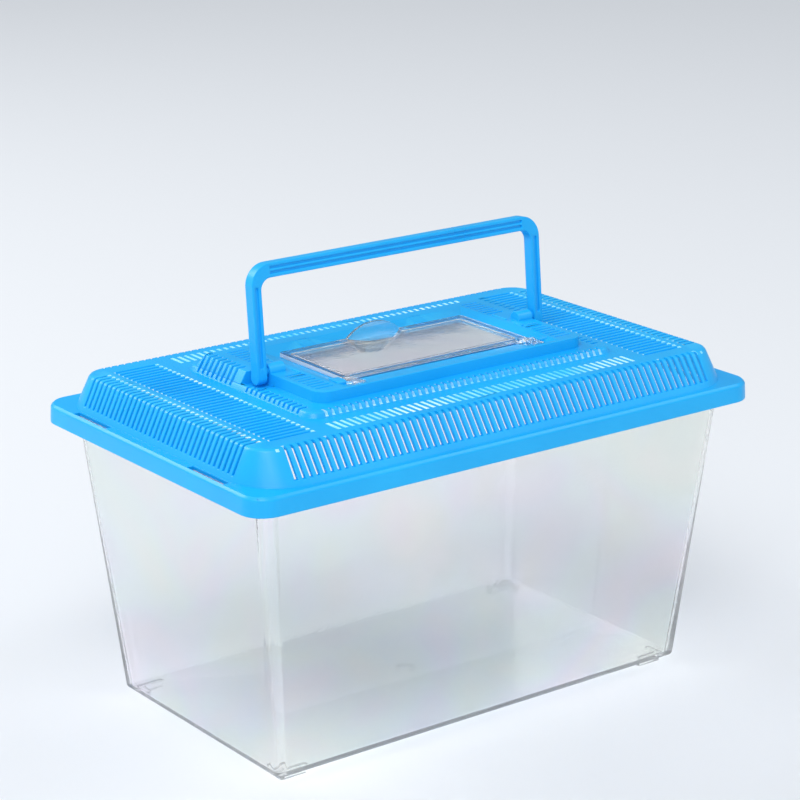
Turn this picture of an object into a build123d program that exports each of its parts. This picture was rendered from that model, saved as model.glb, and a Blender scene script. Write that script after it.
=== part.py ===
from build123d import *
import math
import os

os.makedirs("parts", exist_ok=True)

# Plastic fish tank with a raised, vented lid, a clear feeding hatch and a carry handle.
# Millimetres. +X runs along the tank, the front is -Y, and z = 0 is under the feet.

# Clear tank
floor_length = 193.0
floor_width = 106.8
mouth_length = 217.2
mouth_width = 130.2
tank_depth = 114.8
tank_wall = 1.8
floor_corner_radius = 2.5
mouth_corner_radius = 6.6
inside_corner_radius = 4.0
floor_edge_bevel = 0.9
rim_overhang = 5.3
rim_thickness = 1.8
foot_height = 2.9
foot_rib = 2.2
foot_arm_length = 11.5
foot_arm_width = 8.2
foot_inset = 4.0
gate_disc_diameter = 7.0
gate_disc_depth = 0.3

# Lid: skirt and dome
lid_wall = 1.6
skirt_gap = 1.5
skirt_drop = 5.8
skirt_draft = 0.4
skirt_edge_bevel = 1.0
dome_rise = 12.3
end_ledge = 5.0
side_ledge = 3.7
end_slope_run = 6.0
side_slope_run = 8.7
dome_foot_radius = 15.5
dome_top_radius = 7.0

# Lid: low step, collar round the hatch, and the taller shoulders behind the handle
step_length = 144.0
step_width = 84.0
step_rise = 2.1
step_slope_run = 1.2
step_corner_radius = 6.0
collar_length = 125.0
collar_width = 68.6
collar_rise = 4.3
collar_corner_radius = 5.5
shoulder_reach = 5.5
shoulder_slope_run = 4.0
shoulder_corner_radius = 3.0

# Lid: snap windows over the hooks that catch the tank's rim
window_width = 2.6
window_length = 23.0
window_centre = 39.5
hook_tip_height = 0.6
hook_clearance = 0.3

# Lid: slots all round the dome
slot_width = 1.2
slot_pitch = 3.0
side_slots = 65
side_slot_wrap = 1.9
end_slots = 34
end_slot_pitch = 3.05
end_slot_wrap = 5.7
dome_slot_foot = 2.0

# Lid: grooves like the slots along the rim of the low step, and slots in the shoulders
step_side_grooves = 44
step_side_wrap = 2.8
step_end_grooves = 12
step_end_centre = -16.5
step_end_wrap = 3.9
step_groove_foot = 0.3
shoulder_slots = 8
shoulder_slot_pitch = 3.13
shoulder_slot_centre = 21.85
shoulder_slot_wrap = 3.9

# Lid: thin raised bars beside the handle's sockets
bar_place = 53.0
bar_width = 0.8
bar_rise = 0.4
bar_start = 2.0
bar_end = 11.0

# Hatch and the tray it lies in
hatch_length = 87.8
hatch_width = 42.0
hatch_centre = -1.5
hatch_thickness = 1.8
hatch_corner_radius = 1.6
hatch_gap = 0.4
seat_ledge = 2.6
tray_depth = 2.0
tray_end_slope = 6.3
tray_back_slope = 8.6
tray_front_lip = 0.5
hatch_rib = 1.2
hatch_rib_depth = 1.2
hatch_rib_inner_radius = 0.8
hatch_rib_gap = 0.4

# Finger pull in the back edge of the hatch
pull_width = 26.0
pull_depth = 6.8
pull_setback = 3.0
pull_wall = 1.4
pull_lip_rise = 5.0
pull_clearance = 0.9

# Hinge of the hatch
hinge_forward = 1.7
hinge_drop = 1.4
barrel_radius = 1.8
hinge_arm_width = 5.5
hinge_arm_overlap = 4.4
hinge_tail = 6.8
hinge_pin_radius = 1.1
hinge_pin_clearance = 0.06
hinge_pin_engagement = 2.2
hinge_side_gap = 0.4
ear_width = 4.2
ear_length = 6.0
ear_cap = 0.8

# Catches that hold the hatch shut
catch_spacing = 54.0
catch_width = 6.0
catch_reach = 2.15
catch_clearance = 0.35

# Carry handle
grip_radius = 40.4
grip_height = 5.6
leg_width = 4.2
handle_depth = 5.2
handle_corner_radius = 8.5
handle_inner_radius = 4.4
handle_edge_bevel = 0.6
leg_clearance = 1.2
leg_tail = 2.0
handle_lean = 5.0
pivot_rise = 0.4
handle_pin_radius = 1.7
handle_pin_length = 6.4
handle_pin_clearance = 0.07
socket_wall = 1.1
socket_end_wall = 1.3
socket_pin_gap = 0.4
pocket_depth = 0.7
pocket_clearance = 0.5
grip_groove_width = 0.9
grip_groove_depth = 0.7
grip_groove_spacing = 1.9
leg_groove_width = 1.4

# Levels and sizes that follow from the above
rim_top = foot_height + tank_depth
flange_top = rim_top + lid_wall
skirt_bottom = rim_top - skirt_drop
dome_top = flange_top + dome_rise
step_top = dome_top + step_rise
collar_top = step_top + collar_rise
lid_length = mouth_length + 2 * (rim_overhang + skirt_gap + lid_wall)
lid_width = mouth_width + 2 * (rim_overhang + skirt_gap + lid_wall)
skirt_corner_radius = mouth_corner_radius + skirt_gap + lid_wall
dome_length = lid_length - 2 * end_ledge
dome_width = lid_width - 2 * side_ledge
seat_top = collar_top - tray_depth
hatch_top = seat_top + hatch_thickness
hatch_front = hatch_centre - hatch_width / 2
hatch_back = hatch_centre + hatch_width / 2
hinge_y = hatch_front - hinge_forward
hinge_z = hatch_top - hinge_drop
pivot_z = collar_top + pivot_rise
leg_inner = collar_length / 2 + leg_clearance
leg_outer = leg_inner + leg_width
shoulder_front = handle_depth / 2 + leg_tail + pocket_clearance

# How far a joined piece runs into its neighbour, or a cut runs out past the surface
buried = 1.0


def rounded(length, width, radius, z, y=0.0):
    """A rounded rectangle lying level at height z."""
    return Pos(0, y, z) * RectangleRounded(length, width, radius)


def stack(lower, upper):
    """A solid with flat sides between two level polygons of as many corners."""
    faces = [Face(Wire.make_polygon(lower)), Face(Wire.make_polygon(upper))]
    for i in range(len(lower)):
        j = (i + 1) % len(lower)
        faces.append(Face(Wire.make_polygon([lower[i], lower[j], upper[j], upper[i]])))
    return Solid(Shell(faces))


def sloped_block(lower, upper):
    """A block between two level rectangles, each given as x0, x1, y0, y1 and z."""
    rings = []
    for x0, x1, y0, y1, z in (lower, upper):
        rings.append([(x0, y0, z), (x1, y0, z), (x1, y1, z), (x0, y1, z)])
    return stack(*rings)


def octagon(x, y, inner_x, inner_y, z):
    """The corners of a level rectangle of half sizes x and y with its four corners cut off."""
    quarter = [(x, inner_y), (inner_x, y)]
    points = quarter + [(-u, v) for u, v in reversed(quarter)]
    points += [(-u, -v) for u, v in quarter] + [(u, -v) for u, v in reversed(quarter)]
    return [(u, v, z) for u, v in points]


def leaning_block(lower, upper, radius):
    """A block between two level rectangles, each length, width and z, with leaning round corners."""
    rings = []
    for length, width, z in (lower, upper):
        x = length / 2
        y = width / 2
        rings.append(octagon(x, y, x - radius, y - radius, z))
    centre_x = lower[0] / 2 - radius
    centre_y = lower[1] / 2 - radius
    arc = CenterArc((centre_x, centre_y), radius, 0, 90)
    chord = Line((centre_x, centre_y + radius), (centre_x + radius, centre_y))
    lean = Vector((upper[0] - lower[0]) / 2, (upper[1] - lower[1]) / 2, upper[2] - lower[2])
    corner = extrude(Pos(0, 0, lower[2]) * make_face(arc + chord), amount=lean.length, dir=lean)
    return stack(*rings) + all_corners(corner)


def flaring_block(lower, upper):
    """A block between two level rounded rectangles, each length, width, radius and z.

    Its sides are flat and each corner is part of a cone that touches both sides.
    """
    length0, width0, radius0, z0 = lower
    length1, width1, radius1, z1 = upper
    height = z1 - z0
    lean_x = (length1 - length0) / 2 / height
    lean_y = (width1 - width0) / 2 / height
    growth = (radius1 - radius0) / height
    secant_x = math.hypot(1, lean_x)
    secant_y = math.hypot(1, lean_y)

    def ball_centre(level):
        """The middle of the ball that touches both sides of the corner at this level."""
        radius = radius0 + growth * (level - z0)
        x = length0 / 2 + lean_x * (level - z0) - secant_x * radius
        y = width0 / 2 + lean_y * (level - z0) - secant_y * radius
        return x, y

    def ring(z):
        """The octagon at level z whose corners lie where the cones touch the sides."""
        sine_x = lean_x / secant_x
        sine_y = lean_y / secant_y
        ball_x = (z + sine_x * (radius0 - growth * z0)) / (1 - growth * sine_x)
        ball_y = (z + sine_y * (radius0 - growth * z0)) / (1 - growth * sine_y)
        x = length0 / 2 + lean_x * (z - z0)
        y = width0 / 2 + lean_y * (z - z0)
        return octagon(x, y, ball_centre(ball_y)[0], ball_centre(ball_x)[1], z)

    low_ring = ring(z0)
    high_ring = ring(z1)
    tip_z = z0 - radius0 / growth
    far_z = z1 if growth > 0 else z0
    tip = Vector(*ball_centre(tip_z), tip_z)
    axis = Vector(*ball_centre(far_z), far_z) - tip
    reach = axis.length + height
    far_radius = max(radius0, radius1)
    slope = far_radius / math.sqrt(axis.length**2 - far_radius**2)
    cone = Cone(reach * slope, 0, reach, align=(Align.CENTER, Align.CENTER, Align.MAX))
    cone = Plane(origin=tip, z_dir=-axis) * cone
    foot = Vector(*low_ring[0])
    across = Vector(*low_ring[1]) - foot
    outward = across.cross(Vector(*high_ring[0]) - foot)
    corner = split(cone, Plane(origin=foot, z_dir=outward), keep=Keep.TOP)
    corner = split(corner, Plane.XY.offset(z0), keep=Keep.TOP)
    corner = split(corner, Plane.XY.offset(z1), keep=Keep.BOTTOM)
    return stack(low_ring, high_ring) + all_corners(corner)


def both_ends(shape):
    """The shape and its mirror image at the other end of the lid."""
    return shape + mirror(shape, about=Plane.YZ)


def all_corners(shape):
    """The shape and its mirror images at the other three corners."""
    ends = both_ends(shape)
    return ends + mirror(ends, about=Plane.XZ)


def box_between(x0, x1, y0, y1, z0, z1):
    """A box given by its limits."""
    centre = Pos((x0 + x1) / 2, (y0 + y1) / 2, (z0 + z1) / 2)
    return centre * Box(x1 - x0, y1 - y0, z1 - z0)


# Clear tank


def tank_level(z):
    """The length, width and corner radius of the tapering body at height z."""
    share = (z - foot_height) / tank_depth
    length = floor_length + (mouth_length - floor_length) * share
    width = floor_width + (mouth_width - floor_width) * share
    radius = floor_corner_radius + (mouth_corner_radius - floor_corner_radius) * share
    return length, width, radius


def tank_foot():
    """One L-shaped rib under a corner of the floor, with round ends."""
    corner_x = floor_length / 2 - foot_inset
    corner_y = floor_width / 2 - foot_inset
    top = foot_height + buried
    along = Pos(corner_x - foot_arm_length / 2, corner_y - foot_rib / 2) * SlotOverall(
        foot_arm_length, foot_rib
    )
    across = Pos(corner_x - foot_rib / 2, corner_y - foot_arm_width / 2) * SlotOverall(
        foot_arm_width, foot_rib, rotation=90
    )
    return extrude(along + across, amount=top)


def make_tank():
    shell = flaring_block((*tank_level(foot_height), foot_height), (*tank_level(rim_top), rim_top))
    shell = chamfer(shell.faces().sort_by(Axis.Z)[0].edges(), floor_edge_bevel)
    rim = extrude(
        rounded(
            mouth_length + 2 * rim_overhang,
            mouth_width + 2 * rim_overhang,
            mouth_corner_radius + rim_overhang / 2,
            rim_top - rim_thickness,
        ),
        amount=rim_thickness,
    )
    inside_floor = foot_height + tank_wall
    levels = []
    for z in (inside_floor, rim_top + buried):
        length, width, _ = tank_level(z)
        levels.append((length - 2 * tank_wall, width - 2 * tank_wall, z))
    inside = leaning_block(*levels, inside_corner_radius)
    gate = Pos(0, 0, foot_height) * Cylinder(gate_disc_diameter / 2, 2 * gate_disc_depth)
    return shell + rim + all_corners(tank_foot()) - inside - gate


# Blue lid


def dome_block(low, high, inset):
    """The sloping dome between two levels, moved inwards by inset."""
    levels = []
    for z in (low, high):
        share = (z - flange_top) / dome_rise
        length = dome_length - 2 * end_slope_run * share - 2 * inset
        width = dome_width - 2 * side_slope_run * share - 2 * inset
        radius = dome_foot_radius + (dome_top_radius - dome_foot_radius) * share - inset
        levels.append((length, width, radius, z))
    return flaring_block(*levels)


def shoulder(inset):
    """The tall block behind one end of the handle, or for an inset its hollow."""
    inner = collar_length / 2 - (0 if inset else collar_corner_radius + 2 * lid_wall)
    top_x = collar_length / 2 + shoulder_reach - inset
    top_y = collar_width / 2 - inset
    front = shoulder_front + inset
    block = sloped_block(
        (inner, top_x + shoulder_slope_run, front, top_y + shoulder_slope_run, dome_top - inset),
        (inner, top_x, front, top_y, collar_top - inset),
    )
    rising = block.edges().filter_by(lambda edge: edge.bounding_box().size.Z > step_rise)
    outer_corner = rising.sort_by(lambda edge: edge.center().X + edge.center().Y)[-1]
    return fillet(outer_corner, shoulder_corner_radius - inset)


def lid_outside():
    skirt_height = flange_top - skirt_bottom
    skirt = extrude(
        rounded(lid_length, lid_width, skirt_corner_radius, skirt_bottom),
        amount=skirt_height,
        taper=math.degrees(math.atan(skirt_draft / skirt_height)),
    )
    skirt = chamfer(skirt.faces().sort_by(Axis.Z)[-1].edges(), skirt_edge_bevel)
    dome = dome_block(flange_top, dome_top, 0)
    step = extrude(
        rounded(step_length, step_width, step_corner_radius, dome_top),
        amount=step_rise,
        taper=math.degrees(math.atan(step_slope_run / step_rise)),
    )
    collar = extrude(
        rounded(collar_length, collar_width, collar_corner_radius, dome_top),
        amount=collar_top - dome_top,
    )
    return skirt + dome + step + collar + both_ends(shoulder(0))


def lid_hollow():
    skirt = extrude(
        rounded(
            lid_length - 2 * lid_wall,
            lid_width - 2 * lid_wall,
            skirt_corner_radius - lid_wall,
            skirt_bottom - buried,
        ),
        amount=rim_top - skirt_bottom + buried,
    )
    slope_inset = lid_wall * math.hypot(side_slope_run, dome_rise) / dome_rise
    dome = dome_block(rim_top, dome_top - lid_wall, slope_inset)
    step_inset = step_slope_run + step_end_wrap + lid_wall / 2
    step = extrude(
        rounded(
            step_length - 2 * step_inset,
            step_width - 2 * step_inset,
            collar_corner_radius,
            dome_top - 2 * lid_wall,
        ),
        amount=step_rise + lid_wall,
    )
    collar = extrude(
        rounded(
            collar_length - 2 * lid_wall,
            collar_width - 2 * lid_wall,
            collar_corner_radius - lid_wall,
            dome_top - 2 * lid_wall,
        ),
        amount=collar_top - dome_top + lid_wall,
    )
    return skirt + dome + step + collar + both_ends(shoulder(lid_wall))


def tray_slope(bottom, extra):
    """The sloping sides of the tray round the hatch, from a bottom level to the collar's top."""
    end_x = hatch_length / 2 + hatch_gap + extra
    front = hatch_front - hatch_gap - extra
    back = hatch_back + hatch_gap + extra
    top_front = -collar_width / 2 + tray_front_lip - extra
    block = sloped_block(
        (-end_x, end_x, front, back, bottom),
        (
            -end_x - tray_end_slope,
            end_x + tray_end_slope,
            top_front,
            back + tray_back_slope,
            collar_top,
        ),
    )
    rising = block.edges().filter_by(lambda edge: edge.bounding_box().size.Z > tray_depth / 2)
    return fillet(rising, hatch_corner_radius)


def tray_body():
    """The material that the hatch tray is sunk into."""
    inner_front = collar_width / 2 - lid_wall
    room = box_between(
        -collar_length / 2, collar_length / 2, -inner_front, inner_front, 0, collar_top
    )
    return tray_slope(seat_top - lid_wall, lid_wall) & room


def tray_void():
    """The sloping tray, the opening under the hatch, and room for pull and hinge arms."""
    slope = tray_slope(seat_top, 0)
    seat = seat_ledge + hatch_gap
    opening = extrude(
        rounded(
            hatch_length + 2 * (hatch_gap - seat),
            hatch_width + 2 * (hatch_gap - seat),
            hatch_corner_radius,
            dome_top - 2 * lid_wall,
            hatch_centre,
        ),
        amount=collar_top - dome_top + 2 * lid_wall,
    )
    bowl_radius = pull_radius() + pull_wall
    bowl_half = math.sqrt(bowl_radius**2 - (pull_radius() - pull_depth) ** 2)
    pull_room = box_between(
        -bowl_half - pull_clearance,
        bowl_half + pull_clearance,
        hatch_centre,
        hatch_back + pull_clearance,
        dome_top - 2 * lid_wall,
        collar_top,
    )
    arm_outer = arm_outer_x() + hinge_side_gap
    arm_inner = arm_outer_x() - hinge_arm_width - hinge_side_gap
    arm_room = box_between(
        arm_inner,
        arm_outer,
        hinge_y - hinge_tail - hinge_side_gap,
        hatch_front + seat_ledge + hatch_gap,
        dome_top - 2 * lid_wall,
        collar_top + buried,
    )
    return slope + opening + pull_room + both_ends(arm_room)


def arm_outer_x():
    """How far out the hinge arms of the hatch reach."""
    return hatch_length / 2 - hinge_arm_overlap + hinge_arm_width


def hinge_ear():
    """The bearing beside one hinge arm, with its pin hole."""
    inner = arm_outer_x() + hinge_side_gap
    block = box_between(
        inner,
        inner + ear_width,
        hinge_y - ear_length / 2,
        hinge_y + ear_length / 2,
        seat_top - lid_wall,
        hinge_z + hinge_pin_radius + ear_cap,
    )
    top_edges = block.edges().filter_by(Axis.X).group_by(Axis.Z)[-1]
    return fillet(top_edges, hinge_pin_radius)


def hinge_hole():
    start = arm_outer_x() + hinge_side_gap - buried / 2
    depth = hinge_pin_engagement + hinge_side_gap + buried / 2
    hole = Cylinder(hinge_pin_radius + hinge_pin_clearance, depth + buried / 2)
    return Pos(start + (depth + buried / 2) / 2, hinge_y, hinge_z) * Rot(0, 90, 0) * hole


def socket_length():
    """How far the handle socket runs in from the end of the collar."""
    return handle_pin_length - leg_clearance + socket_pin_gap + socket_end_wall


def socket_boss():
    """The half-round housing of one handle pin, on top of the collar."""
    radius = handle_pin_radius + handle_pin_clearance + socket_wall
    length = socket_length()
    barrel = Rot(0, 90, 0) * Cylinder(radius, length)
    centre = collar_length / 2 - length / 2
    web = box_between(
        centre - length / 2,
        centre + length / 2,
        -radius,
        radius,
        pivot_z - radius - pivot_rise,
        pivot_z,
    )
    return Pos(centre, 0, pivot_z) * barrel + web


def socket_bore():
    depth = socket_length() - socket_end_wall
    bore = Cylinder(handle_pin_radius + handle_pin_clearance, depth + buried)
    return Pos(collar_length / 2 - depth / 2 + buried / 2, 0, pivot_z) * Rot(0, 90, 0) * bore


def handle_pocket():
    """The notch that the lower end of a handle leg stands in."""
    return box_between(
        collar_length / 2,
        leg_outer + leg_clearance,
        -shoulder_front,
        shoulder_front,
        step_top - pocket_depth,
        step_top + buried,
    )


def snap_window(side):
    """The opening in the flange above one snap hook."""
    inner_x = lid_length / 2 - lid_wall
    return box_between(
        inner_x - window_width,
        inner_x,
        side * window_centre - window_length / 2,
        side * window_centre + window_length / 2,
        rim_top - buried,
        flange_top + buried,
    )


def snap_hook(side):
    """The nib under one window, a ramp inside the skirt just clear of the tank's rim."""
    inner_x = lid_length / 2 - lid_wall
    tip_x = mouth_length / 2 + rim_overhang + hook_clearance
    top = rim_top - rim_thickness
    profile = Plane.XZ * make_face(
        Polyline(
            (inner_x + lid_wall / 2, top),
            (tip_x, top),
            (tip_x, top - hook_tip_height),
            (inner_x, skirt_bottom),
            (inner_x + lid_wall / 2, skirt_bottom),
            close=True,
        )
    )
    return Pos(0, side * window_centre, 0) * extrude(profile, amount=window_length / 2, both=True)


def catch(side):
    """A bump on the back slope of the tray that the edge of the hatch snaps past."""
    foot_y = hatch_back + catch_clearance
    profile = Plane.YZ * make_face(
        Polyline(
            (foot_y, seat_top),
            (foot_y + catch_reach, seat_top + hatch_thickness / 2),
            (foot_y + tray_back_slope, collar_top),
            (foot_y + tray_back_slope, seat_top),
            close=True,
        )
    )
    bump = extrude(profile, amount=catch_width / 2, both=True)
    return Pos(side * catch_spacing / 2, 0, 0) * bump


def slot_row(count, pitch, centre):
    """The middles of a row of slots."""
    return [centre + pitch * (i - (count - 1) / 2) for i in range(count)]


def side_cutters(count, wrap_edge, wrap, foot, top, reach):
    """Cutters for the slots of both long sides, wrapping inwards over the top edge."""
    cutters = []
    for x in slot_row(count, slot_pitch, 0):
        for side in (-1, 1):
            near = side * (wrap_edge - wrap)
            far = side * reach
            cutters.append(
                box_between(
                    x - slot_width / 2, x + slot_width / 2, min(near, far), max(near, far), foot, top
                )
            )
    return cutters


def end_cutters(middles, wrap_edge, wrap, foot, top, reach):
    """Cutters for the slots of both ends, wrapping inwards over the top edge."""
    cutters = []
    for y in middles:
        for end in (-1, 1):
            near = end * (wrap_edge - wrap)
            far = end * reach
            cutters.append(
                box_between(
                    min(near, far), max(near, far), y - slot_width / 2, y + slot_width / 2, foot, top
                )
            )
    return cutters


def slot_cutters():
    """Cutters for all the slots of the lid."""
    dome_foot = flange_top + dome_slot_foot
    dome_head = dome_top + buried
    side_edge = dome_width / 2 - side_slope_run
    end_edge = dome_length / 2 - end_slope_run
    step_foot = dome_top + step_groove_foot
    step_head = step_top + buried
    step_side_edge = step_width / 2 - step_slope_run
    step_end_edge = step_length / 2 - step_slope_run
    shoulder_edge = collar_length / 2 + shoulder_reach
    cutters = side_cutters(
        side_slots, side_edge, side_slot_wrap, dome_foot, dome_head, dome_width / 2
    )
    cutters += end_cutters(
        slot_row(end_slots, end_slot_pitch, 0),
        end_edge,
        end_slot_wrap,
        dome_foot,
        dome_head,
        dome_length / 2,
    )
    cutters += side_cutters(
        step_side_grooves, step_side_edge, step_side_wrap, step_foot, step_head, step_width / 2
    )
    cutters += end_cutters(
        slot_row(step_end_grooves, slot_pitch, step_end_centre),
        step_end_edge,
        step_end_wrap,
        step_foot,
        step_head,
        step_length / 2,
    )
    cutters += end_cutters(
        slot_row(shoulder_slots, shoulder_slot_pitch, shoulder_slot_centre),
        shoulder_edge,
        shoulder_slot_wrap,
        step_foot,
        collar_top + buried,
        step_length / 2,
    )
    return cutters


def raised_bars():
    """The thin bars in front of and behind one socket, on top of the collar."""
    back = box_between(
        bar_place - bar_width / 2,
        bar_place + bar_width / 2,
        bar_start,
        bar_end,
        collar_top - buried / 2,
        collar_top + bar_rise,
    )
    return back + mirror(back, about=Plane.XZ)


def make_lid():
    lid = lid_outside() - lid_hollow() + tray_body() - tray_void()
    lid += both_ends(hinge_ear())
    lid += both_ends(socket_boss())
    lid -= both_ends(hinge_hole() + socket_bore() + handle_pocket())
    lid += both_ends(raised_bars())
    for side in (-1, 1):
        lid -= both_ends(snap_window(side))
        lid += both_ends(snap_hook(side))
        lid += catch(side)
    return lid.cut(*slot_cutters())


# Clear hatch


def pull_radius():
    """The radius of the ball that scoops the bowl of the finger pull."""
    return (pull_width**2 / 4 + pull_depth**2) / (2 * pull_depth)


def lens(radius, centre_z, low, high):
    """A disc seen from the front, cut off level below low and above high."""
    band = Pos(0, (low + high) / 2) * Rectangle(2 * radius, high - low)
    return (Pos(0, centre_z) * Circle(radius)) & band


def finger_pull():
    """A bowl in the back edge of the hatch, its hollow, and the half-round lip behind it."""
    radius = pull_radius()
    centre_z = hatch_top - pull_depth + radius
    centre_y = hatch_back + pull_setback
    bottom = hatch_top - pull_depth - pull_wall
    reach = radius + pull_wall
    room = box_between(-reach, reach, centre_y - reach, hatch_back, bottom - buried, hatch_top)
    rim_radius = math.sqrt((radius + pull_wall) ** 2 - (radius - pull_depth) ** 2)
    bowl_height = pull_depth + pull_wall
    cup = Cone(rim_radius - bowl_height, rim_radius, bowl_height)
    bowl = (Pos(0, centre_y, hatch_top - bowl_height / 2) * cup) & room
    hollow = Pos(0, centre_y, centre_z) * Sphere(radius)
    chord = math.sqrt(pull_width**2 / 4 - pull_setback**2)
    arch_radius = (chord**2 + pull_lip_rise**2) / (2 * pull_lip_rise)
    arch_z = hatch_top + pull_lip_rise - arch_radius
    middle = hatch_top - hatch_thickness / 2
    arch = lens(arch_radius, arch_z, middle, hatch_top + pull_lip_rise)
    disc_radius = math.sqrt((radius + pull_wall / 2) ** 2 - pull_setback**2)
    disc = lens(disc_radius, centre_z, bottom - buried, middle)
    lip = Pos(0, hatch_back, 0) * extrude(Plane.XZ * (arch + disc), amount=pull_wall)
    return bowl, hollow, lip


def hinge_arm():
    """One hinge arm: a barrel with a pin, and the tail that stops the open hatch."""
    outer = arm_outer_x()
    centre = outer - hinge_arm_width / 2
    barrel = Pos(centre, hinge_y, hinge_z) * Rot(0, 90, 0) * Cylinder(barrel_radius, hinge_arm_width)
    tail = box_between(
        outer - hinge_arm_width,
        outer,
        hinge_y - hinge_tail,
        hatch_front,
        seat_top,
        hatch_top,
    )
    root = box_between(
        outer - hinge_arm_width,
        hatch_length / 2,
        hatch_front - buried / 2,
        hatch_front + buried,
        seat_top,
        hatch_top,
    )
    pin_length = hinge_side_gap + hinge_pin_engagement
    pin = Pos(outer + pin_length / 2 - buried / 2, hinge_y, hinge_z) * Rot(0, 90, 0)
    pin = pin * Cylinder(hinge_pin_radius, pin_length + buried)
    return barrel + tail + root + pin


def make_hatch():
    plate = extrude(
        rounded(hatch_length, hatch_width, hatch_corner_radius, seat_top, hatch_centre),
        amount=hatch_thickness,
    )
    rib_inset = seat_ledge + hatch_rib_gap
    rib_outer = rounded(
        hatch_length - 2 * rib_inset,
        hatch_width - 2 * rib_inset,
        hatch_corner_radius,
        seat_top - hatch_rib_depth,
        hatch_centre,
    )
    rib_inner = rounded(
        hatch_length - 2 * rib_inset - 2 * hatch_rib,
        hatch_width - 2 * rib_inset - 2 * hatch_rib,
        hatch_rib_inner_radius,
        seat_top - hatch_rib_depth,
        hatch_centre,
    )
    rib = extrude(rib_outer - rib_inner, amount=hatch_rib_depth + buried / 2)
    bowl, hollow, lip = finger_pull()
    return plate + rib + bowl - hollow + lip + both_ends(hinge_arm())


# Blue carry handle


def handle_leg_end():
    """The round lower end of one leg, and its pin."""
    centre = (leg_inner + leg_outer) / 2
    end = Rot(0, 90, 0) * Cylinder(handle_depth / 2, leg_width)
    pin = Rot(0, 90, 0) * Cylinder(handle_pin_radius, handle_pin_length + buried)
    pin_centre = leg_inner - handle_pin_length / 2 + buried / 2
    return Pos(centre, 0, -leg_tail) * end + Pos(pin_centre, 0, 0) * pin


def handle_grooves():
    """Two long grooves on the front of the grip, and one on the front of each leg."""
    face_y = -handle_depth / 2
    grip_z = grip_radius - grip_height / 2
    grip_length = 2 * (leg_outer - handle_corner_radius)
    grooves = []
    for side in (-1, 1):
        groove = Plane.XZ * (
            Pos(0, grip_z + side * grip_groove_spacing / 2)
            * SlotOverall(grip_length, grip_groove_width)
        )
        grooves.append(Pos(0, face_y, 0) * extrude(groove, amount=grip_groove_depth, both=True))
        leg_length = grip_radius - handle_corner_radius - handle_pin_radius
        leg = Plane.XZ * (
            Pos(side * (leg_inner + leg_outer) / 2, handle_pin_radius + leg_length / 2)
            * SlotOverall(leg_length, leg_groove_width, rotation=90)
        )
        grooves.append(Pos(0, face_y, 0) * extrude(leg, amount=grip_groove_depth, both=True))
    return grooves


def make_handle():
    """A flat arch of rounded section, drawn upright on its axis and then leaned back."""
    drop = handle_corner_radius + leg_tail
    outer = Pos(0, (grip_radius - drop - leg_tail) / 2) * RectangleRounded(
        2 * leg_outer, grip_radius + drop + leg_tail, handle_corner_radius
    )
    inner_top = grip_radius - grip_height
    inner = Pos(0, (inner_top - drop - leg_tail) / 2) * RectangleRounded(
        2 * leg_inner, inner_top + drop + leg_tail, handle_inner_radius
    )
    keep = Pos(0, (grip_radius + buried - leg_tail) / 2) * Rectangle(
        2 * leg_outer + buried, grip_radius + buried + leg_tail
    )
    arch = Plane.XZ * ((outer - inner) & keep)
    frame = extrude(arch, amount=handle_depth / 2, both=True)
    for face in (frame.faces().sort_by(Axis.Y)[0], frame.faces().sort_by(Axis.Y)[-1]):
        long_edges = face.edges().filter_by(
            lambda edge: edge.bounding_box().max.Z > buried - leg_tail
        )
        frame = chamfer(long_edges, handle_edge_bevel)
    body = frame + both_ends(handle_leg_end())
    for groove in handle_grooves():
        body -= groove
    return Pos(0, 0, pivot_z) * Rot(-handle_lean, 0, 0) * body


nodes = {
    "tank": make_tank(),
    "lid": make_lid(),
    "hatch": make_hatch(),
    "handle": make_handle(),
}
for name, shape in nodes.items():
    shape.label = name
    export_step(shape, f"parts/{name}.step")
    print(name, [round(v, 2) for v in shape.bounding_box().size])
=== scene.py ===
import math

import bmesh
import bpy
from mathutils import Matrix, Vector


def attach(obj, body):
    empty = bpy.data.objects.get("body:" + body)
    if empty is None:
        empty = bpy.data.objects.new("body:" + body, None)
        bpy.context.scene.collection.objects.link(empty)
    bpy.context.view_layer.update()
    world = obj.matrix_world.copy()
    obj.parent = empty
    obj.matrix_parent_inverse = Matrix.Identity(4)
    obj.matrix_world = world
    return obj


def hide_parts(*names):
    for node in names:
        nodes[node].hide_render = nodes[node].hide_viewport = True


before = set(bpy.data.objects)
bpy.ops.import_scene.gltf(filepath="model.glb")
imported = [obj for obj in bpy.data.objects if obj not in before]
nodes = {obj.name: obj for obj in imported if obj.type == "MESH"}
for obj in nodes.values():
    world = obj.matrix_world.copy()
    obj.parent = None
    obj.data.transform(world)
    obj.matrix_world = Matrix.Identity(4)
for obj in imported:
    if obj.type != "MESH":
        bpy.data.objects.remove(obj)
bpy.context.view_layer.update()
bpy.context.scene.view_settings.view_transform = "Standard"
print("frame loaded")


# camera: the photograph's own view, for a square picture
cameraLook = {
    "place": (-0.5774, -0.7725, 0.4150),
    "yaw": -0.6410174,
    "pitch": -0.3012560,
    "roll": -0.0044729,
    "lens": 118.02,
    "sensor": 36,
    "near": 0.05,
    "far": 30,
}


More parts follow.
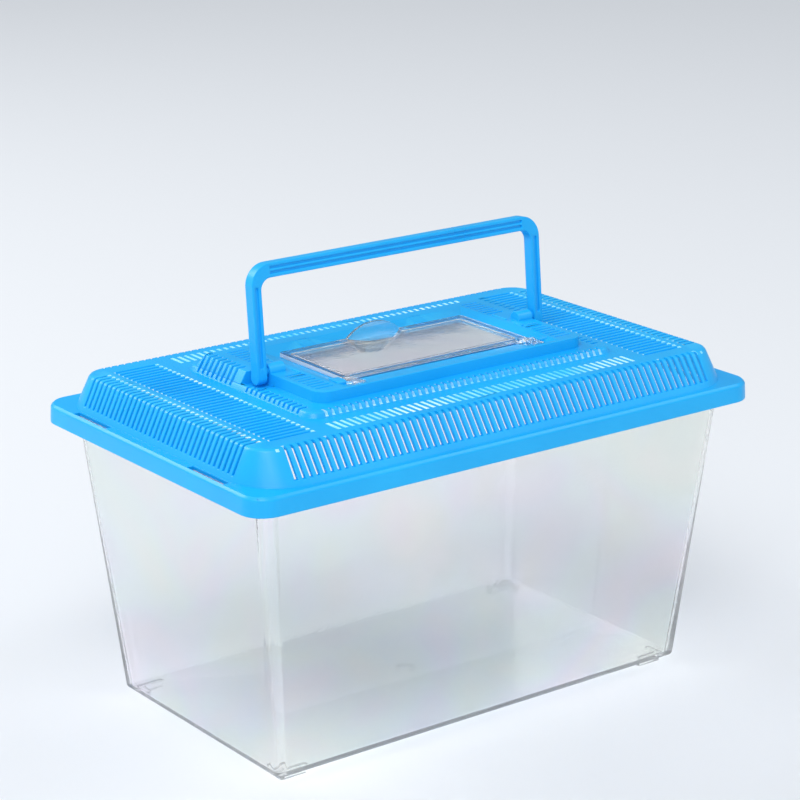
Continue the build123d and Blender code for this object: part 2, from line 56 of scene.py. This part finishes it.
def placeCamera(look):
    bpy.ops.object.camera_add(location=look["place"])
    camera = bpy.context.object
    camera.name = "photoCamera"
    cosYaw = math.cos(look["yaw"])
    sinYaw = math.sin(look["yaw"])
    cosPitch = math.cos(look["pitch"])
    forward = Vector((-sinYaw * cosPitch, cosYaw * cosPitch, math.sin(look["pitch"])))
    right = Vector((cosYaw, sinYaw, 0))
    up = right.cross(forward)
    rolledRight = right * math.cos(look["roll"]) + up * math.sin(look["roll"])
    rolledUp = up * math.cos(look["roll"]) - right * math.sin(look["roll"])
    turn = Matrix((rolledRight, rolledUp, -forward)).transposed()
    camera.rotation_euler = turn.to_euler()
    camera.data.lens = look["lens"]
    camera.data.sensor_width = look["sensor"]
    camera.data.clip_start = look["near"]
    camera.data.clip_end = look["far"]
    bpy.context.scene.camera = camera


placeCamera(cameraLook)
print("camera placed")


# studio: pale floor, soft sky, a large lamp front left, one behind and a weak one front right
studioLook = {
    "floorSize": 9.0,
    "floorColor": (0.80, 0.82, 0.85, 1),
    "floorRoughness": 0.75,
    "floorShine": 0.1,
    "skyLow": (0.66, 0.69, 0.73, 1),
    "skyHigh": (0.94, 0.97, 1.0, 1),
    "skyHighFrom": 0.7,
    "skyStrength": 0.68,
    "curtainColor": (0.36, 0.40, 0.45, 1),
    "curtainAim": (0.574, 0.754, 0.32),
    "curtainEdge": (0.60, 0.90),
    "lampAim": (0, 0, 0.09),
}
lamps = {
    "keyLamp": {"place": (-1.60, -1.35, 2.45), "size": 1.8, "power": 52},
    "rimLamp": {"place": (-0.75, 1.35, 1.15), "size": 0.8, "power": 11},
    "fillLamp": {"place": (1.25, -0.75, 1.60), "size": 0.6, "power": 4},
}


def paleFloor(look):
    bpy.ops.mesh.primitive_plane_add(size=look["floorSize"])
    floor = bpy.context.object
    floor.name = "paleFloor"
    material = bpy.data.materials.new("floorPaper")
    material.use_nodes = True
    shader = material.node_tree.nodes["Principled BSDF"]
    shader.inputs["Base Color"].default_value = look["floorColor"]
    shader.inputs["Roughness"].default_value = look["floorRoughness"]
    shader.inputs["Specular IOR Level"].default_value = look["floorShine"]
    floor.data.materials.append(material)


def softLamp(name, look):
    bpy.ops.object.light_add(type="AREA", location=look["place"])
    lamp = bpy.context.object
    lamp.name = name
    lamp.data.shape = "SQUARE"
    lamp.data.size = look["size"]
    lamp.data.energy = look["power"]
    aim = Vector(studioLook["lampAim"]) - Vector(look["place"])
    lamp.rotation_euler = aim.to_track_quat("-Z", "Y").to_euler()


def softSky(look):
    # bright all round but for a dark curtain behind the tank, low on the far side
    world = bpy.data.worlds.new("studioSky")
    bpy.context.scene.world = world
    world.use_nodes = True
    tree = world.node_tree
    background = tree.nodes["Background"]
    background.inputs["Strength"].default_value = look["skyStrength"]
    where = tree.nodes.new("ShaderNodeTexCoord")
    parts = tree.nodes.new("ShaderNodeSeparateXYZ")
    height = tree.nodes.new("ShaderNodeValToRGB")
    height.color_ramp.elements[0].color = look["skyLow"]
    height.color_ramp.elements[1].color = look["skyHigh"]
    height.color_ramp.elements[1].position = look["skyHighFrom"]
    toward = tree.nodes.new("ShaderNodeVectorMath")
    toward.operation = "DOT_PRODUCT"
    toward.inputs[1].default_value = look["curtainAim"]
    share = tree.nodes.new("ShaderNodeMapRange")
    share.interpolation_type = "SMOOTHSTEP"
    share.inputs["From Min"].default_value = look["curtainEdge"][0]
    share.inputs["From Max"].default_value = look["curtainEdge"][1]
    hang = tree.nodes.new("ShaderNodeMix")
    hang.data_type = "RGBA"
    hang.inputs[7].default_value = look["curtainColor"]
    tree.links.new(where.outputs["Generated"], parts.inputs[0])
    tree.links.new(parts.outputs["Z"], height.inputs["Fac"])
    tree.links.new(where.outputs["Generated"], toward.inputs[0])
    tree.links.new(toward.outputs["Value"], share.inputs["Value"])
    tree.links.new(share.outputs["Result"], hang.inputs[0])
    tree.links.new(height.outputs["Color"], hang.inputs[6])
    tree.links.new(hang.outputs[2], background.inputs["Color"])


paleFloor(studioLook)
for name, look in lamps.items():
    softLamp(name, look)
softSky(studioLook)
print("studio built")


# copies of the solid parts that get soft edges and fine detail
copyRule = {
    "mergeDistance": 1e-6,
    "flatAngle": math.radians(0.5),
    "sharpAngle": math.radians(28),
    "smoothAngle": math.radians(38),
    "bevelSteps": 2,
    "squareOn": 0.9,
    "splitSlack": 1e-7,
}


def selectOnly(piece):
    bpy.ops.object.select_all(action="DESELECT")
    piece.select_set(True)
    bpy.context.view_layer.objects.active = piece


def applyModifier(piece, kind, settings):
    selectOnly(piece)
    step = piece.modifiers.new(kind.lower(), kind)
    for key, value in settings.items():
        setattr(step, key, value)
    bpy.ops.object.modifier_apply(modifier=step.name)


def mergedCopy(node, name):
    piece = bpy.data.objects.new(name, nodes[node].data.copy())
    bpy.context.collection.objects.link(piece)
    selectOnly(piece)
    bpy.ops.mesh.customdata_custom_splitnormals_clear()
    bpy.ops.object.mode_set(mode="EDIT")
    bpy.ops.mesh.select_all(action="SELECT")
    bpy.ops.mesh.remove_doubles(threshold=copyRule["mergeDistance"])
    bpy.ops.mesh.dissolve_limited(angle_limit=copyRule["flatAngle"])
    bpy.ops.object.mode_set(mode="OBJECT")
    return piece


def softenEdges(piece, width, shares, inner=False):
    # each sharp edge gets its share of the width, from the first rule that fits its middle
    selectOnly(piece)
    bpy.ops.object.mode_set(mode="EDIT")
    bpy.ops.mesh.select_all(action="SELECT")
    bpy.ops.mesh.vert_connect_concave()
    mesh = bmesh.from_edit_mesh(piece.data)
    weight = mesh.edges.layers.float.new("bevel_weight_edge")
    for edge in mesh.edges:
        if edge.calc_face_angle(0) < copyRule["sharpAngle"] or not (inner or edge.is_convex):
            continue
        middle = (edge.verts[0].co + edge.verts[1].co) / 2
        edge[weight] = next(share for fits, share in shares if fits(middle, edge))
    bmesh.update_edit_mesh(piece.data)
    bpy.ops.object.mode_set(mode="OBJECT")
    applyModifier(piece, "BEVEL", {
        "width": width,
        "segments": copyRule["bevelSteps"],
        "limit_method": "WEIGHT",
        "use_clamp_overlap": False,
        "loop_slide": False,
    })
    bpy.ops.object.shade_smooth_by_angle(angle=copyRule["smoothAngle"])
    applyModifier(piece, "WEIGHTED_NORMAL", {"keep_sharp": True})


def anyEdge(middle, edge):
    return True


# lid: outlines are half length, half width and corner radius
lidShape = {
    "domeTop": 0.1316,
    "domeEdge": (0.1060, 0.0611, 0.0093),
    "stepTop": 0.1337,
    "stepEdge": (0.0708, 0.0408, 0.0060),
    "wideEdge": 0.0013,
    "stepShare": 0.6,
    "skirtShare": 0.38,
    "slotShare": 0.26,
    "levelSlack": 1e-5,
    "sideSlack": 5e-4,
    "flangeTop": 0.1193,
    "flangeShare": 0.06,
    "skirtFrom": (0.1145, 0.0710),
    "collarTop": 0.1380,
}
topRows = {
    "count": 47,
    "pitch": 0.0030,
    "width": 0.0011,
    "start": 0.0477,
    "end": 0.0556,
    "depth": 0.0006,
}
endPanels = {
    "count": 35,
    "pitch": 0.00304,
    "width": 0.0015,
    "start": 0.0775,
    "end": 0.0966,
    "depth": 0.0006,
    "dot": 0.0008,  # length at each end of a groove that is painted pale as painted light
}
slotEnds = {
    "count": 34,
    "pitch": 0.00305,
    "width": 0.0012,
    "start": 0.0993,
    "end": 0.1008,
    "depth": 0.0005,
}
collarFront = {
    "count": 8,
    "pitch": 0.0028,
    "width": 0.0010,
    "start": 0.0522,
    "end": 0.0600,
    "depth": 0.0006,
    "centre": -0.0185,
}
collarBack = {**collarFront, "count": 7, "centre": 0.0215}
stepGrooves = {
    "across": (0.0376, 0.0420),
    "height": (0.1318, 0.1334),
    "halfLength": 0.0665,
    "paleFrom": 0.0393,
}


def isLevel(edge, height):
    return all(abs(vert.co.z - height) < lidShape["levelSlack"] for vert in edge.verts)


def onOutline(middle, outline):
    halfLength, halfWidth, radius = outline
    outX = abs(middle.x) - (halfLength - radius)
    outY = abs(middle.y) - (halfWidth - radius)
    away = math.hypot(max(outX, 0), max(outY, 0)) + min(max(outX, outY), 0) - radius
    return abs(away) < lidShape["sideSlack"]


def onDomeEdge(middle, edge):
    return isLevel(edge, lidShape["domeTop"]) and onOutline(middle, lidShape["domeEdge"])


def onStepEdge(middle, edge):
    return isLevel(edge, lidShape["stepTop"]) and onOutline(middle, lidShape["stepEdge"])


def onFlange(middle, edge):
    return abs(middle.z - lidShape["flangeTop"]) < lidShape["levelSlack"]


def onSkirt(middle, edge):
    return any(abs(place) > limit for place, limit in zip(middle, lidShape["skirtFrom"]))


def grooveBar(name, size, middle):
    bpy.ops.object.select_all(action="DESELECT")
    bpy.ops.mesh.primitive_cube_add(size=1, location=middle)
    bar = bpy.context.object
    bar.name = name
    bar.scale = size
    bpy.ops.object.transform_apply(location=False, rotation=False, scale=True)
    return bar


def splitAcross(bar, out, places):
    # the bar keeps its shape, but its ends get faces of their own
    bpy.ops.object.mode_set(mode="EDIT")
    for place in places:
        bpy.ops.mesh.select_all(action="SELECT")
        bpy.ops.mesh.bisect(plane_co=out * place, plane_no=out)
    bpy.ops.object.mode_set(mode="OBJECT")


def rowOfGrooves(name, row, across, top):
    # one bar, repeated along the row, then mirrored to the other side of the lid
    along = Vector((1, 0, 0)) if across == "y" else Vector((0, 1, 0))
    out = Vector((0, 1, 0)) if across == "y" else Vector((1, 0, 0))
    length = row["end"] - row["start"]
    size = along * row["width"] + out * length + Vector((0, 0, 2 * row["depth"]))
    first = along * (row.get("centre", 0) - row["pitch"] * (row["count"] - 1) / 2)
    middle = first + out * (row["start"] + row["end"]) / 2 + Vector((0, 0, top))
    bar = grooveBar(name, size, middle)
    if "dot" in row:
        splitAcross(bar, out, (row["start"] + row["dot"], row["end"] - row["dot"]))
    applyModifier(bar, "ARRAY", {
        "count": row["count"],
        "use_relative_offset": False,
        "use_constant_offset": True,
        "constant_offset_displace": along * row["pitch"],
    })
    bpy.ops.object.transform_apply(location=True, rotation=False, scale=False)
    applyModifier(bar, "MIRROR", {"use_axis": (across == "x", across == "y", False)})
    return bar


def cutWith(piece, cutter):
    applyModifier(piece, "BOOLEAN", {
        "object": cutter,
        "operation": "DIFFERENCE",
        "solver": "EXACT",
    })
    bpy.data.objects.remove(cutter, do_unlink=True)


def between(value, ends):
    return ends[0] < value < ends[1]


def inStepGroove(center):
    across = between(abs(center.y), stepGrooves["across"])
    level = between(center.z, stepGrooves["height"])
    return across and level and abs(center.x) < stepGrooves["halfLength"]


def isStepWall(center, normal):
    return abs(normal.x) > copyRule["squareOn"] and inStepGroove(center)


def splitStepWalls(piece):
    # the side walls of the step's grooves, divided into a deep and an outer part; the outer
    # part is painted pale as painted light
    selectOnly(piece)
    bpy.ops.object.mode_set(mode="EDIT")
    for side in (-1, 1):
        bpy.ops.mesh.select_all(action="DESELECT")
        mesh = bmesh.from_edit_mesh(piece.data)
        for face in mesh.faces:
            center = face.calc_center_median()
            if center.y * side > 0 and isStepWall(center, face.normal):
                face.select_set(True)
        bmesh.update_edit_mesh(piece.data)
        bpy.ops.mesh.bisect(
            plane_co=(0, side * stepGrooves["paleFrom"], 0),
            plane_no=(0, 1, 0),
            threshold=copyRule["splitSlack"],
        )
    bpy.ops.object.mode_set(mode="OBJECT")


def makeLid():
    lid = mergedCopy("lid", "ventedLid")
    for name, row, across, top in (
        ("topRows", topRows, "y", "domeTop"),
        ("endPanels", endPanels, "x", "domeTop"),
        ("slotEnds", slotEnds, "x", "domeTop"),
        ("collarFront", collarFront, "x", "collarTop"),
        ("collarBack", collarBack, "x", "collarTop"),
    ):
        cutWith(lid, rowOfGrooves(name, row, across, lidShape[top]))
    softenEdges(lid, lidShape["wideEdge"], (
        (onDomeEdge, 1.0),
        (onStepEdge, lidShape["stepShare"]),
        (onFlange, lidShape["flangeShare"]),
        (onSkirt, lidShape["skirtShare"]),
        (anyEdge, lidShape["slotShare"]),
    ))
    splitStepWalls(lid)
    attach(lid, "lid")
    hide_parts("lid")
    return lid


lidPiece = makeLid()
print("lid cut and softened:", len(lidPiece.data.polygons), "faces")


# tank, hatch and handle
tankShape = {"edge": 0.0006, "footTop": 0.0035, "footShare": 0.5}
hatchShape = {
    "edge": 0.0003,
    "hingeFront": -0.0215,
    "hingeShare": 0.3,
    "rimPlace": 0.0432,
    "rimSlope": 0.5,
}
handleShape = {"edge": 0.0004}


def onFoot(middle, edge):
    return middle.z < tankShape["footTop"]


def onHatchHinge(middle, edge):
    return middle.y < hatchShape["hingeFront"]


def makeSoftened(node, name, width, shares, inner=False):
    piece = mergedCopy(node, name)
    softenEdges(piece, width, shares, inner)
    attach(piece, node)
    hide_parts(node)
    return piece


evenly = ((anyEdge, 1.0),)
footFine = ((onFoot, tankShape["footShare"]), (anyEdge, 1.0))
hingeFine = ((onHatchHinge, hatchShape["hingeShare"]), (anyEdge, 1.0))
tankPiece = makeSoftened(
    "tank", "clearTank", tankShape["edge"], footFine, inner=True
)
hatchPiece = makeSoftened("hatch", "clearHatch", hatchShape["edge"], hingeFine)
handlePiece = makeSoftened("handle", "carryHandle", handleShape["edge"], evenly)
print("tank, hatch and handle softened")


# finishes: three effects built once, then the plastics
effects = {
    "grainDetail": 2,
    "waveDetail": 1,
    "patchDetail": 3,
    "breakDetail": 2,
    "driftDetail": 1,
    "driftTwist": 1.2,
    "driftHues": 2.2,
    "driftColor": (1.0, 0.0, 0.35, 1),
    "noiseSpan": (0.3, 0.7),
}


def newGroup(name, numbers, results):
    group = bpy.data.node_groups.new(name, "ShaderNodeTree")
    for label, value in numbers.items():
        socket = group.interface.new_socket(
            label, in_out="INPUT", socket_type="NodeSocketFloat"
        )
        socket.default_value = value
    for label, kind in results.items():
        group.interface.new_socket(label, in_out="OUTPUT", socket_type=kind)
    return group, group.nodes.new("NodeGroupInput"), group.nodes.new("NodeGroupOutput")


def mathNode(tree, operation, first, second):
    node = tree.nodes.new("ShaderNodeMath")
    node.operation = operation
    for socket, value in zip(node.inputs, (first, second)):
        if isinstance(value, (int, float)):
            socket.default_value = value
        else:
            tree.links.new(value, socket)
    return node.outputs[0]


def noiseNode(tree, place, scale, detail):
    noise = tree.nodes.new("ShaderNodeTexNoise")
    noise.inputs["Detail"].default_value = detail
    tree.links.new(place, noise.inputs["Vector"])
    tree.links.new(scale, noise.inputs["Scale"])
    return noise


def moldedSkin():
    # fine matt grain over slow waves in the surface, and slow patches of handling shine
    group, given, out = newGroup("moldedSkin", {
        "Grain Scale": 3200,
        "Wave Scale": 60,
        "Patch Scale": 26,
        "Wave Share": 0.5,
    }, {"Height": "NodeSocketFloat", "Patches": "NodeSocketFloat"})
    where = group.nodes.new("ShaderNodeTexCoord").outputs["Object"]
    grain = noiseNode(group, where, given.outputs["Grain Scale"], effects["grainDetail"])
    wave = noiseNode(group, where, given.outputs["Wave Scale"], effects["waveDetail"])
    patch = noiseNode(group, where, given.outputs["Patch Scale"], effects["patchDetail"])
    waves = mathNode(group, "MULTIPLY", wave.outputs["Fac"], given.outputs["Wave Share"])
    group.links.new(mathNode(group, "ADD", grain.outputs["Fac"], waves), out.inputs["Height"])
    group.links.new(patch.outputs["Fac"], out.inputs["Patches"])
    return group


def paintedEdgeHighlight():
    # the outer edges, made paler as a painted highlight, broken up by noise
    group, given, out = newGroup("paintedEdgeHighlight", {
        "Low": 0.52,
        "High": 0.62,
        "Break Scale": 240,
    }, {"Highlight": "NodeSocketFloat"})
    where = group.nodes.new("ShaderNodeTexCoord").outputs["Object"]
    shape = group.nodes.new("ShaderNodeNewGeometry").outputs["Pointiness"]
    breaks = noiseNode(group, where, given.outputs["Break Scale"], effects["breakDetail"])
    span = group.nodes.new("ShaderNodeMapRange")
    group.links.new(shape, span.inputs["Value"])
    group.links.new(given.outputs["Low"], span.inputs["From Min"])
    group.links.new(given.outputs["High"], span.inputs["From Max"])
    broken = mathNode(group, "MULTIPLY", span.outputs[0], breaks.outputs["Fac"])
    group.links.new(broken, out.inputs["Highlight"])
    return group


def flowTint():
    # faint drifting colours, as stress leaves in clear moulded plastic
    group, given, out = newGroup("flowTint", {
        "Scale": 14,
        "Depth": 0.05,
    }, {"Tint": "NodeSocketColor"})
    where = group.nodes.new("ShaderNodeTexCoord").outputs["Object"]
    drift = noiseNode(group, where, given.outputs["Scale"], effects["driftDetail"])
    drift.inputs["Distortion"].default_value = effects["driftTwist"]
    hue = group.nodes.new("ShaderNodeHueSaturation")
    hue.inputs["Color"].default_value = effects["driftColor"]
    turn = mathNode(group, "MULTIPLY", drift.outputs["Fac"], effects["driftHues"])
    group.links.new(turn, hue.inputs["Hue"])
    fade = group.nodes.new("ShaderNodeMix")
    fade.data_type = "RGBA"
    fade.inputs[6].default_value = (1, 1, 1, 1)
    group.links.new(given.outputs["Depth"], fade.inputs[0])
    group.links.new(hue.outputs[0], fade.inputs[7])
    group.links.new(fade.outputs[2], out.inputs["Tint"])
    return group


skin = moldedSkin()
edgeHighlightGroup = paintedEdgeHighlight()
tint = flowTint()
bluePlastic = {
    "deep": (0.004, 0.405, 0.88, 1),
    "bright": (0.010, 0.46, 0.94, 1),
    # painted highlight colour, used on the sharp edges and in the pale groove marks
    "paintedHighlight": (0.08, 0.68, 1.0, 1),
    "highlightShare": 0.55,
    "roughness": (0.27, 0.40),
    "specular": 0.35,
    "bump": 0.05,
    "bumpReach": 0.0002,
}
clearPlastic = {
    "ior": 1.57,
    "roughness": (0.0, 0.05),
    "bump": 0.03,
    "bumpReach": 0.0004,
    "grainScale": 900,
    "waveShare": 6,
    "tintDepth": 0.035,
    "lampShare": 0.95,
    "alpha": 0.88,
}
hazyPlastic = {**clearPlastic, "roughness": (0.10, 0.16), "alpha": 0.6}
# the hatch's short edges: rough, half clear, and white as a painted highlight
frostedHighlightEdge = {
    "color": (0.96, 0.98, 1.0, 1),
    "roughness": 0.38,
    "transmission": 0.55,
    "bump": bluePlastic["bump"],
    "bumpReach": bluePlastic["bumpReach"],
}
# pale marks in and at the ends of the grooves: painted light
paintedLightMarks = {
    "color": (0.80, 0.96, 1.0, 1),
    "roughness": 0.4,
    "bump": bluePlastic["bump"],
    "bumpReach": bluePlastic["bumpReach"],
    "level": (0.1308, 0.1314),
    "slotEnd": (0.0992, 0.1004),
    "panelEnds": ((0.0774, 0.0784), (0.0957, 0.0967)),
    "topRow": (0.0475, 0.0558),
    "topRowHalf": 0.0715,
    "stepFlat": 0.8,
    "stepEnds": ((0.0667, 0.0671), (0.0639, 0.0643)),
}


def placeGroup(tree, group, numbers):
    node = tree.nodes.new("ShaderNodeGroup")
    node.node_tree = group
    for label, value in numbers.items():
        node.inputs[label].default_value = value
    return node


def newMaterial(name):
    material = bpy.data.materials.new(name)
    material.use_nodes = True
    tree = material.node_tree
    return material, tree, tree.nodes["Principled BSDF"]


def mixColors(tree, factor, first, second):
    mix = tree.nodes.new("ShaderNodeMix")
    mix.data_type = "RGBA"
    tree.links.new(factor, mix.inputs[0])
    for socket, value in ((mix.inputs[6], first), (mix.inputs[7], second)):
        if isinstance(value, tuple):
            socket.default_value = value
        else:
            tree.links.new(value, socket)
    return mix.outputs[2]


def spread(tree, value, ends):
    # the middle of a noise's range, stretched between two ends
    span = tree.nodes.new("ShaderNodeMapRange")
    span.inputs["From Min"].default_value = effects["noiseSpan"][0]
    span.inputs["From Max"].default_value = effects["noiseSpan"][1]
    span.inputs["To Min"].default_value = ends[0]
    span.inputs["To Max"].default_value = ends[1]
    tree.links.new(value, span.inputs["Value"])
    return span.outputs[0]


def bumpFrom(tree, shader, height, look):
    bump = tree.nodes.new("ShaderNodeBump")
    bump.inputs["Strength"].default_value = look["bump"]
    bump.inputs["Distance"].default_value = look["bumpReach"]
    tree.links.new(height, bump.inputs["Height"])
    tree.links.new(bump.outputs["Normal"], shader.inputs["Normal"])


def blueMaterial(look):
    material, tree, shader = newMaterial("bluePlastic")
    surface = placeGroup(tree, skin, {})
    edges = placeGroup(tree, edgeHighlightGroup, {})
    share = spread(tree, surface.outputs["Patches"], (0.0, 1.0))
    body = mixColors(tree, share, look["deep"], look["bright"])
    # painted highlight: sharp edges mixed towards a paler blue
    paintedHighlight = mathNode(tree, "MULTIPLY", edges.outputs["Highlight"], look["highlightShare"])
    highlightedBody = mixColors(tree, paintedHighlight, body, look["paintedHighlight"])
    tree.links.new(highlightedBody, shader.inputs["Base Color"])
    roughness = spread(tree, surface.outputs["Patches"], look["roughness"])
    tree.links.new(roughness, shader.inputs["Roughness"])
    shader.inputs["Specular IOR Level"].default_value = look["specular"]
    bumpFrom(tree, shader, surface.outputs["Height"], look)
    return material


def clearMaterial(name, look):
    material, tree, shader = newMaterial(name)
    surface = placeGroup(tree, skin, {
        "Grain Scale": look["grainScale"],
        "Wave Share": look["waveShare"],
    })
    colors = placeGroup(tree, tint, {"Depth": look["tintDepth"]})
    tree.links.new(colors.outputs["Tint"], shader.inputs["Base Color"])
    roughness = spread(tree, surface.outputs["Patches"], look["roughness"])
    tree.links.new(roughness, shader.inputs["Roughness"])
    shader.inputs["IOR"].default_value = look["ior"]
    shader.inputs["Transmission Weight"].default_value = 1
    shader.inputs["Alpha"].default_value = look["alpha"]
    bumpFrom(tree, shader, surface.outputs["Height"], look)
    # lamp light passes almost whole, so the plastic throws only a faint shadow
    path = tree.nodes.new("ShaderNodeLightPath").outputs["Is Shadow Ray"]
    passing = tree.nodes.new("ShaderNodeBsdfTransparent")
    mix = tree.nodes.new("ShaderNodeMixShader")
    tree.links.new(mathNode(tree, "MULTIPLY", path, look["lampShare"]), mix.inputs[0])
    tree.links.new(shader.outputs[0], mix.inputs[1])
    tree.links.new(passing.outputs[0], mix.inputs[2])
    tree.links.new(mix.outputs[0], tree.nodes["Material Output"].inputs["Surface"])
    return material


def frostedHighlightMaterial(look):
    # the short edges of the hatch, rough and half clear, and white as a painted highlight
    # along them
    material, tree, shader = newMaterial("frostedHighlightEdge")
    surface = placeGroup(tree, skin, {})
    shader.inputs["Base Color"].default_value = look["color"]
    shader.inputs["Roughness"].default_value = look["roughness"]
    shader.inputs["Transmission Weight"].default_value = look["transmission"]
    bumpFrom(tree, shader, surface.outputs["Height"], look)
    return material


def paintedLightMaterial(look):
    # painted light: pale marks in and at the ends of the grooves, standing in for light seen
    # through them and highlights on their walls
    material, tree, shader = newMaterial("paintedLightMarks")
    surface = placeGroup(tree, skin, {})
    share = spread(tree, surface.outputs["Patches"], (0.0, 1.0))
    pale = mixColors(tree, share, look["color"], bluePlastic["paintedHighlight"])
    tree.links.new(pale, shader.inputs["Base Color"])
    shader.inputs["Roughness"].default_value = look["roughness"]
    bumpFrom(tree, shader, surface.outputs["Height"], look)
    return material


def paintWhere(piece, base, rules):
    # the base all over, and each rule's material on the faces that fit it
    piece.data.materials.clear()
    for material in (base, *(material for material, fits in rules)):
        piece.data.materials.append(material)
    for face in piece.data.polygons:
        found = (n for n, rule in enumerate(rules, 1) if rule[1](face.center, face.normal))
        face.material_index = next(found, 0)


def isHatchHinge(center, normal):
    return center.y < hatchShape["hingeFront"]


def isHatchRim(center, normal):
    upright = abs(normal.z) < hatchShape["rimSlope"]
    return upright and abs(center.x) > hatchShape["rimPlace"]


# faces painted pale as painted light: groove floors and ends, and the step grooves' outer
# walls
def isPaintedLightMark(center, normal):
    x, y = abs(center.x), abs(center.y)
    if between(center.z, paintedLightMarks["level"]):
        rowEnds = (paintedLightMarks["slotEnd"], *paintedLightMarks["panelEnds"])
        topRow = between(y, paintedLightMarks["topRow"]) and x < paintedLightMarks["topRowHalf"]
        if topRow or any(between(x, ends) for ends in rowEnds):
            return True
    squareX = abs(normal.x) > copyRule["squareOn"]
    squareY = abs(normal.y) > copyRule["squareOn"]
    if inStepGroove(center) and (normal.z > paintedLightMarks["stepFlat"] or squareY):
        return True
    if isStepWall(center, normal) and y > stepGrooves["paleFrom"]:
        return True
    return squareX and any(between(x, ends) for ends in paintedLightMarks["stepEnds"])


blue = blueMaterial(bluePlastic)
clear = clearMaterial("clearPlastic", clearPlastic)
hazy = clearMaterial("hazyPlastic", hazyPlastic)
frostedHighlight = frostedHighlightMaterial(frostedHighlightEdge)
lightMarks = paintedLightMaterial(paintedLightMarks)
paintWhere(tankPiece, clear, ())
paintWhere(hatchPiece, clear, ((hazy, isHatchHinge), (frostedHighlight, isHatchRim)))
paintWhere(lidPiece, blue, ((lightMarks, isPaintedLightMark),))
paintWhere(handlePiece, blue, ())
print("plastics applied")
